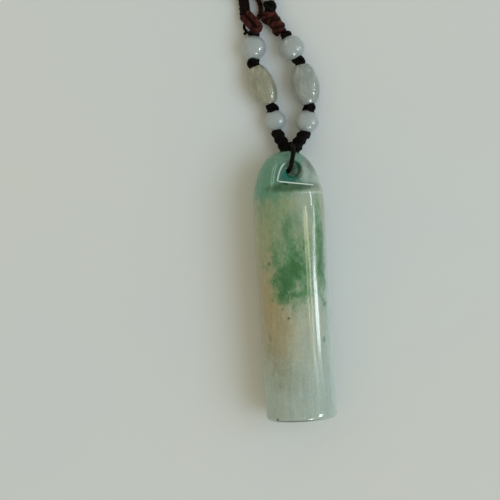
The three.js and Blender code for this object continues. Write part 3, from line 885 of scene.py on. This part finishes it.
def blended(tree, share, first, second, way="MIX"):
    """Mixes two colours; a colour may be three plain numbers."""
    first, second = [c if isinstance(c, bpy.types.NodeSocket) else (*c, 1) for c in (first, second)]
    sockets = {0: share, 6: first, 7: second}
    return place_node(tree, "ShaderNodeMix", sockets, data_type="RGBA", blend_type=way).outputs[2]


def ranged(tree, value, low, high, to_low=0.0, to_high=1.0, ease="LINEAR"):
    sockets = enumerate((value, low, high, to_low, to_high))
    return place_node(tree, "ShaderNodeMapRange", sockets, interpolation_type=ease).outputs[0]


def noise_of(tree, vector, scale, detail=2.0, roughness=0.5, distortion=0.0):
    sockets = {
        "Vector": vector, "Scale": scale, "Detail": detail, "Roughness": roughness, "Distortion": distortion,
    }
    return place_node(tree, "ShaderNodeTexNoise", sockets).outputs[0]


def new_group(name, inputs, outputs):
    """A shader node group with named sockets, each an in or out name and its kind."""
    group = bpy.data.node_groups.new(name, "ShaderNodeTree")
    for socket, kind in inputs:
        group.interface.new_socket(socket, in_out="INPUT", socket_type=f"NodeSocket{kind}")
    for socket, kind in outputs:
        group.interface.new_socket(socket, in_out="OUTPUT", socket_type=f"NodeSocket{kind}")
    given = group.nodes.new("NodeGroupInput").outputs
    result = group.nodes.new("NodeGroupOutput").inputs
    return group, given, result



def grouped(tree, group, sockets):
    """Places a node group in a material and gives it its values."""
    made = tree.nodes.new("ShaderNodeGroup")
    made.node_tree = group
    for socket, value in sockets.items():
        if isinstance(value, bpy.types.NodeSocket):
            tree.links.new(value, made.inputs[socket])
        else:
            made.inputs[socket].default_value = value
    return made.outputs


def make_stone_patch():
    """One soft or ragged patch inside a stone, its mask one in the middle and none outside."""
    group, given, result = new_group(
        "stone_patch",
        [("Place", "Vector"), ("Wander", "Float"), ("Centre", "Vector"), ("Reach", "Vector"),
         ("Raggedness", "Float"), ("Softness", "Float"), ("Strength", "Float")],
        [("Mask", "Float")],
    )
    offset = vectors(group, "SUBTRACT", given["Place"], given["Centre"])
    distance = vectors(group, "LENGTH", vectors(group, "DIVIDE", offset, given["Reach"]))
    edge = maths(group, "MULTIPLY_ADD", given["Wander"], given["Raggedness"], distance)
    inner = maths(group, "SUBTRACT", 1, given["Softness"])
    outer = maths(group, "ADD", 1, given["Softness"])
    mask = ranged(group, edge, outer, inner, ease="SMOOTHSTEP")
    group.links.new(maths(group, "MULTIPLY", mask, given["Strength"]), result["Mask"])
    return group


def make_stone_grain():
    """The fibres, grains and slow clouds of jade, its long way along Y."""
    group, given, result = new_group(
        "stone_grain",
        [("Place", "Vector"), ("Fineness", "Float")],
        [("Wander", "Float"), ("Fibres", "Float"), ("Grains", "Float"), ("Clouds", "Float")],
    )
    along = place_node(group, "ShaderNodeMapping", {"Vector": given["Place"], "Scale": (1, 0.6, 1)}).outputs[0]
    long = place_node(group, "ShaderNodeMapping", {"Vector": given["Place"], "Scale": (1, 0.12, 1)}).outputs[0]
    wander = noise_of(group, along, maths(group, "MULTIPLY", given["Fineness"], 0.6), 5, 0.6, 0.3)
    fibres = noise_of(group, long, maths(group, "MULTIPLY", given["Fineness"], 1.5), 3, 0.6)
    grains = noise_of(group, along, maths(group, "MULTIPLY", given["Fineness"], 2.6), 3, 0.7)
    clouds = noise_of(group, along, maths(group, "MULTIPLY", given["Fineness"], 0.28), 3, 0.55, 0.4)
    for name, value in (("Wander", wander), ("Fibres", fibres), ("Grains", grains), ("Clouds", clouds)):
        group.links.new(ranged(group, value, 0.28, 0.72, -1.0, 1.0), result[name])
    return group


def make_laid_fibres():
    """The fine fibres of a thread, on its own lay: they run along it with a slant, with no seam round it."""
    group, given, result = new_group(
        "laid_fibres",
        [("Lay", "Vector"), ("Count", "Float"), ("Slant", "Float"), ("Stretch", "Float")],
        [("Height", "Float"), ("Tone", "Float"), ("Wear_and_sheen", "Float")],
    )
    lay = place_node(group, "ShaderNodeSeparateXYZ", {0: given["Lay"]}).outputs
    turn = maths(group, "MULTIPLY_ADD", lay[1], given["Slant"], lay[0])
    angle = maths(group, "MULTIPLY", turn, math.tau)
    around = [maths(group, "MULTIPLY", maths(group, way, angle), given["Count"]) for way in ("COSINE", "SINE")]
    along = maths(group, "MULTIPLY", lay[1], given["Stretch"])
    place = place_node(group, "ShaderNodeCombineXYZ", {0: around[0], 1: around[1], 2: along}).outputs[0]
    slow = place_node(group, "ShaderNodeCombineXYZ", {2: lay[1]}).outputs[0]
    group.links.new(noise_of(group, place, 1.0, 2, 0.6), result["Height"])
    group.links.new(ranged(group, noise_of(group, place, 0.45, 2, 0.6), 0.3, 0.7), result["Tone"])
    # Slow mask for the pale raised fibres: partly wear, partly painted sheen
    group.links.new(ranged(group, noise_of(group, slow, 1.3, 3, 0.7), 0.35, 0.65), result["Wear_and_sheen"])
    return group


def new_material(name, **values):
    """A material whose plain values are set on its Principled shader's own sockets."""
    material = bpy.data.materials.new(name)
    material.use_nodes = True
    tree = material.node_tree
    shader = tree.nodes["Principled BSDF"]
    for socket, value in values.items():
        shader.inputs[socket.replace("_", " ")].default_value = value
    return material, tree, shader


def link(tree, value, shader, socket):
    tree.links.new(value, shader.inputs[socket])


def bumped(tree, height, strength, distance):
    sockets = {"Strength": strength, "Distance": distance, "Height": height}
    return place_node(tree, "ShaderNodeBump", sockets).outputs[0]


def millimetre_place(tree, centre=(0, 0, 0)):
    """Object coordinates in millimetres from a place given in metres."""
    object_place = place_node(tree, "ShaderNodeTexCoord").outputs["Object"]
    moved = vectors(tree, "SUBTRACT", object_place, tuple(centre))
    return place_node(tree, "ShaderNodeMapping", {"Vector": moved, "Scale": (1000, 1000, 1000)}).outputs[0]


def jade_material(patch, grain):
    material, tree, shader = new_material(
        "green_jade_polish", IOR=1.66, Subsurface_Weight=0.3, Subsurface_Scale=0.0016,
        Subsurface_Radius=(1, 1, 0.8),
    )
    place = millimetre_place(tree)
    grains = grouped(tree, grain, {"Place": place, "Fineness": 1.0})
    wander = maths(tree, "MULTIPLY_ADD", grains["Grains"], 0.25, grains["Wander"])
    colour = blended(tree, ranged(tree, grains["Clouds"], -1.0, 1.0), jade_grey, jade_grey_green)
    for tint, centre, reach, raggedness, softness, strength in jade_patches:
        mask = grouped(tree, patch, {
            "Place": place, "Wander": wander, "Centre": centre, "Reach": reach,
            "Raggedness": raggedness, "Softness": softness, "Strength": strength,
        })["Mask"]
        colour = blended(tree, mask, colour, tint)
    fibres = ranged(tree, grains["Fibres"], -1.0, 1.0, 0.91, 1.09)
    grit = ranged(tree, grains["Grains"], -1.0, 1.0, 0.91, 1.09)
    tone = maths(tree, "MULTIPLY", fibres, grit)
    grey = place_node(tree, "ShaderNodeCombineColor", {0: tone, 1: tone, 2: tone}).outputs[0]
    colour = blended(tree, 1.0, colour, grey, "MULTIPLY")
    # Painted highlights: the marked edges are mixed towards a pale colour
    edge = place_node(tree, "ShaderNodeAttribute", (), attribute_name="painted_edge_highlight").outputs["Fac"]
    colour = blended(tree, ranged(tree, edge, 0.0, 0.6), colour, jade_painted_highlight)
    link(tree, colour, shader, "Base Color")
    link(tree, ranged(tree, grains["Grains"], -1.0, 1.0, 0.07, 0.12), shader, "Roughness")
    link(tree, bumped(tree, grains["Fibres"], 0.008, 0.00005), shader, "Normal")
    return material


def bead_material(name, grain, centre, tints, clear, speck=None):
    """Milky or mottled stone for one bead, clouded from its own middle and under a clear polish."""
    material, tree, shader = new_material(
        name, IOR=1.35, Subsurface_Weight=0.5, Subsurface_Scale=0.0016, Subsurface_Radius=(1, 1, 1),
        Transmission_Weight=clear, Coat_Weight=1, Coat_Roughness=0.04, Coat_IOR=1.6,
    )
    place = millimetre_place(tree, centre)
    grains = grouped(tree, grain, {"Place": place, "Fineness": 1.3})
    colour = blended(tree, ranged(tree, grains["Clouds"], -0.8, 0.8), tints[0], tints[1])
    colour = blended(tree, ranged(tree, grains["Wander"], 0.1, 1.0, 0.0, 0.6), colour, tints[2])
    if speck:
        colour = blended(tree, ranged(tree, grains["Grains"], 0.35, 0.9, 0.0, 0.7), colour, speck)
    link(tree, colour, shader, "Base Color")
    link(tree, ranged(tree, grains["Clouds"], -1.0, 1.0, 0.35, 0.5), shader, "Roughness")
    link(tree, bumped(tree, grains["Grains"], 0.03, 0.00004), shader, "Normal")
    return material


def thread_material(name, fibres, tints, slant=1.2, count=7.0, bump=0.5, sheen=0.0):
    """Twisted or braided thread: dark between its fibres, paler on raised fibres as wear and painted sheen, with
    painted shade darkening the hollows between its plies.
    """
    material, tree, shader = new_material(
        name, Roughness=0.62, Sheen_Weight=sheen, Sheen_Roughness=0.45, Specular_IOR_Level=0.06,
    )
    lay = place_node(tree, "ShaderNodeUVMap", (), uv_map="lay").outputs[0]
    strands = grouped(tree, fibres, {"Lay": lay, "Count": count, "Slant": slant, "Stretch": 1.6})
    colour = blended(tree, strands["Tone"], tints[0], tints[1])
    # Partly wear and partly painted sheen: raised fibres are mixed towards the pale tint
    wear_and_sheen = maths(tree, "MULTIPLY", strands["Wear_and_sheen"], strands["Height"])
    colour = blended(tree, wear_and_sheen, colour, tints[2])
    # Painted shade: the hollows between the plies are darkened
    groove = place_node(tree, "ShaderNodeAttribute", (), attribute_name="groove").outputs["Fac"]
    colour = blended(tree, ranged(tree, groove, 0.01, 0.12, 0.0, 0.85), colour, groove_painted_shade)
    link(tree, colour, shader, "Base Color")
    link(tree, bumped(tree, strands["Height"], bump, 0.00012), shader, "Normal")
    return material


def floor_material():
    material, tree, shader = new_material("pale_floor", Roughness=0.7, Specular_IOR_Level=0.2)
    place = place_node(tree, "ShaderNodeTexCoord").outputs["Object"]
    shade = ranged(tree, noise_of(tree, place, 14.0, 3, 0.5), 0.3, 0.7)
    link(tree, blended(tree, shade, floor_cool, floor_warm), shader, "Base Color")
    return material


def make_floor():
    deselect_all()
    bpy.ops.mesh.primitive_plane_add(size=3)
    floor = bpy.context.object
    floor.name = floor.data.name = "pale_floor"
    floor.data.materials.append(floor_material())


def soft_light(name, use, azimuth, elevation, size, roll, colour, radiance):
    """A rectangular light aimed at the jade, its angles in degrees with +X at azimuth 0.

    Its size is as seen at a metre. A light for shade is far off and doesn't show in a polish, and one for
    shine shows only there.
    """
    distance = 3 if use == "shade" else 1
    turn, rise = math.radians(azimuth), math.radians(elevation)
    direction = Vector((math.cos(rise) * math.cos(turn), math.cos(rise) * math.sin(turn), math.sin(rise)))
    aim = Vector((0, 0, jade_axis_height))
    bpy.ops.object.light_add(type="AREA", location=aim + direction * distance)
    light = bpy.context.object
    light.name = light.data.name = name
    facing = direction.to_track_quat("Z", "Y").to_matrix()
    light.rotation_euler = (facing @ Matrix.Rotation(math.radians(roll), 3, "Z")).to_euler()
    light.data.shape = "RECTANGLE"
    light.data.size, light.data.size_y = [side * distance for side in size]
    light.data.color = colour
    light.data.energy = radiance * math.pi * light.data.size * light.data.size_y
    light.visible_glossy = use == "shine"
    light.visible_diffuse = use == "shade"


def make_lights():
    world = bpy.data.worlds.new("room")
    world.use_nodes = True
    bpy.context.scene.world = world
    background = world.node_tree.nodes["Background"]
    background.inputs["Color"].default_value = (*room_colour, 1)
    for light in lights:
        soft_light(*light)
    bpy.context.scene.view_settings.view_transform = "Standard"


def settle(piece, material, slot, *nodes):
    """Gives a finished piece its material and its place in the frame."""
    piece.data.materials.clear()
    piece.data.materials.append(material)
    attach(piece, "root")
    if nodes:
        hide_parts(*nodes)
    return piece


def knot_between(name, before, after, width, strand, turn=0, taper=0):
    """A knot that fills the string between two beads."""
    start = before[1] + before[2] * before[3]
    end = after[1] - after[2] * after[3]
    length = (end - start).length + knot_overlap
    return wound_knot(name, (start + end) / 2, (end - start).normalized(), length, width, strand, turn, taper)


def make_side(side, line, knots):
    """The three beads of one side, the knots between and above them, and the thread wound round the leg."""
    lower = round_bead(f"{side}_lower_bead_stone", f"{side}_lower_bead", line)
    barrel = barrel_bead(f"{side}_barrel_bead_stone", f"{side}_barrel_bead", line)
    upper = round_bead(f"{side}_upper_bead_stone", f"{side}_upper_bead", line)
    beads = {"lower": lower, "barrel": barrel, "upper": upper}
    low_width, low_turn, low_taper, high_width, high_turn, top_width, top_turn = knots
    thread = [
        knot_between(f"{side}_lower_knot", lower, barrel, low_width, 0.00042, low_turn, low_taper),
        knot_between(f"{side}_middle_knot", barrel, upper, high_width, 0.00048, high_turn),
    ]
    top = upper[1] + upper[2] * (upper[3] + 0.00045)
    thread.append(wound_knot(f"{side}_top_knot", top, upper[2], 0.0017, top_width, 0.00048, top_turn))
    return beads, thread


def make_upper_side(side, route, line):
    """The short string above the red-brown cord work, with its bead and its two knots."""
    bead = round_bead(f"{side}_third_bead_stone", f"{side}_third_bead", line)
    string = swept(f"{side}_upper_string_cord", line, string_diameter / 2, 16, laid_relief(3, 0.0022, 0.16))
    offset = bead[3] + 0.0005
    near_place = bead[1] - bead[2] * (offset + 0.0004)
    near = wound_knot(f"{side}_near_knot", near_place, bead[2], 0.0024, 0.003, 0.00055, 0.4)
    far = wound_knot(f"{side}_far_knot", bead[1] + bead[2] * offset, bead[2], 0.0018, 0.0026, 0.00048, 1.3)
    return bead[0], string, [near, far]


make_camera()
make_lights()
make_floor()

patch = make_stone_patch()
grain = make_stone_grain()
fibres = make_laid_fibres()
black = thread_material("black_waxed_thread", fibres, black_tints)
red = thread_material("red_brown_silk_thread", fibres, red_tints, count=5.0, bump=0.9, sheen=0.015)
dark = thread_material("dark_braided_cord", fibres, dark_tints, slant=0.8, count=9.0)

settle(make_jade(), jade_material(patch, grain), "green_jade", "jade_cylinder")

string, string_line = make_bead_string()
settle(string, black, "black_thread", "bead_string")
neck_cord, neck_line = make_neck_cord()
settle(neck_cord, dark, "dark_cord", "left_neck_cord", "right_neck_cord", "neck_cord_hank")

left_line = smooth_line(left_leg_route, 0.0001)
right_line = smooth_line(right_leg_route, 0.0001)
string_pieces = []
for side, line, knots in (("left", left_line, left_knots), ("right", right_line, right_knots)):
    beads, thread = make_side(side, line, knots)
    for kind, (bead, place, _, _) in beads.items():
        tints, slot = barrel_finishes[side] if kind == "barrel" else (white_jade, "white_jade")
        clear, speck = (0.15, bead_speck) if kind == "barrel" else (0.3, None)
        finish = bead_material(f"{side}_{kind}_bead_polish", grain, place, tints, clear, speck)
        settle(bead, finish, slot, f"{side}_{kind}_bead")
        string_pieces.append(bead)
    wrap = leg_wrap(f"{side}_leg_winding", winding_routes[side], winding_turns[side])
    settle(wrap, black, "black_thread", f"{side}_leg_wrap")
    for knot in thread:
        settle(knot, black, "black_thread")
    string_pieces += [wrap, *thread]

centre_knot = wound_knot(
    "centre_knot", Vector(centre_knot_place), Vector((1, 0, 0)), centre_knot_length, centre_knot_width, 0.00062, 0.8,
)
string_pieces.append(settle(centre_knot, black, "black_thread"))

for side, route in (("left", left_upper_route), ("right", right_upper_route)):
    line = smooth_line(route, 0.00016)
    bead, upper_string, knots = make_upper_side(side, route, line)
    finish = bead_material(f"{side}_third_bead_polish", grain, middle_of(f"{side}_third_bead"), white_jade, 0.3)
    settle(bead, finish, "white_jade", f"{side}_third_bead")
    settle(upper_string, black, "black_thread", f"{side}_upper_string")
    for knot in knots:
        settle(knot, black, "black_thread")

right_twist, right_corner = make_right_twist()
settle(right_twist, red, "red_brown_thread", "right_twist")
settle(right_corner, red, "red_brown_thread")
band_pair, band_groove_shade = make_band()
settle(band_pair, red, "red_brown_thread", "left_twist")
settle(band_groove_shade, dark, "dark_cord")
settle(make_dark_wrap(), dark, "dark_cord", "left_dark_wrap")
loose_strand = swept(
    "left_loose_strand_cord", smooth_line(left_loose_strand_route, 0.00014), 0.0005, 14, laid_relief(2, 0.0018, 0.16),
)
settle(loose_strand, red, "red_brown_thread", "left_loose_strand")
tail = swept("left_tail_thread", smooth_line(left_tail_route, 0.00012), 0.00032, 12, laid_relief(3, 0.0014, 0.14))
settle(tail, black, "black_thread")
settle(make_hank_tie(), black, "black_thread", "hank_tie")
